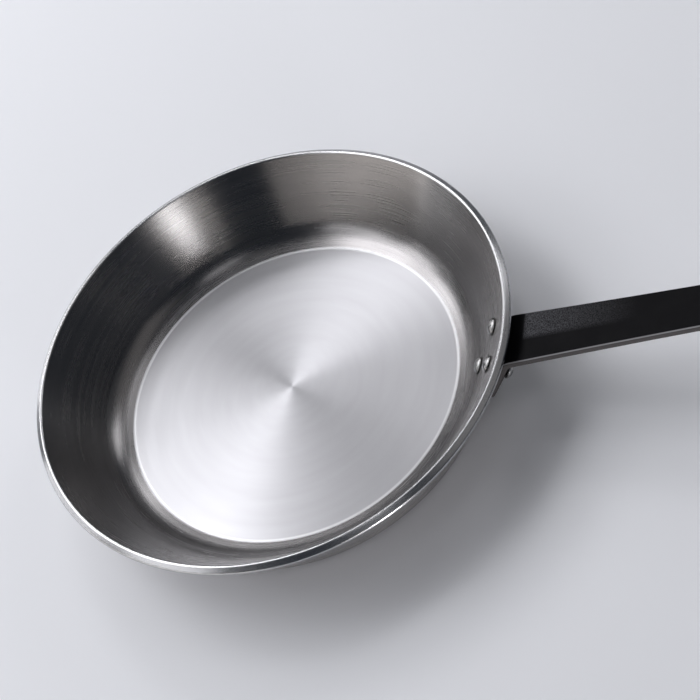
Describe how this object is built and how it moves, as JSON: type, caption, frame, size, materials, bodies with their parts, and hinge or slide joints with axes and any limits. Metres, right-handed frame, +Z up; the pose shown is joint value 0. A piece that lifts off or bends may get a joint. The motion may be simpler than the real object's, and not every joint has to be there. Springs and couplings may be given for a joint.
{
  "type": "omelette pan",
  "caption": "Shallow round pan of thick spun metal with straight flared sides, a flat base and a long strip-steel handle riveted to its wall.",
  "frame": {"origin": "on the pan's axis at the flat underside of the base, where it meets the hob", "axes": "+Z up along the pan's axis, +X out along the handle, +Y completes a right-handed frame"},
  "size_m": [0.4507, 0.2404, 0.0761],
  "materials": {
    "spun_aluminium": "bare metal with fine circular marks from the spinning lathe",
    "black_steel": "black baked coating, satin",
    "rivet_aluminium": "bare, smooth"
  },
  "bodies": {
    "root": {"pan_body": "spun_aluminium", "handle": "black_steel", "rivet_left": "rivet_aluminium", "rivet_right": "rivet_aluminium", "rivet_low": "rivet_aluminium"}
  },
  "joints": []
}
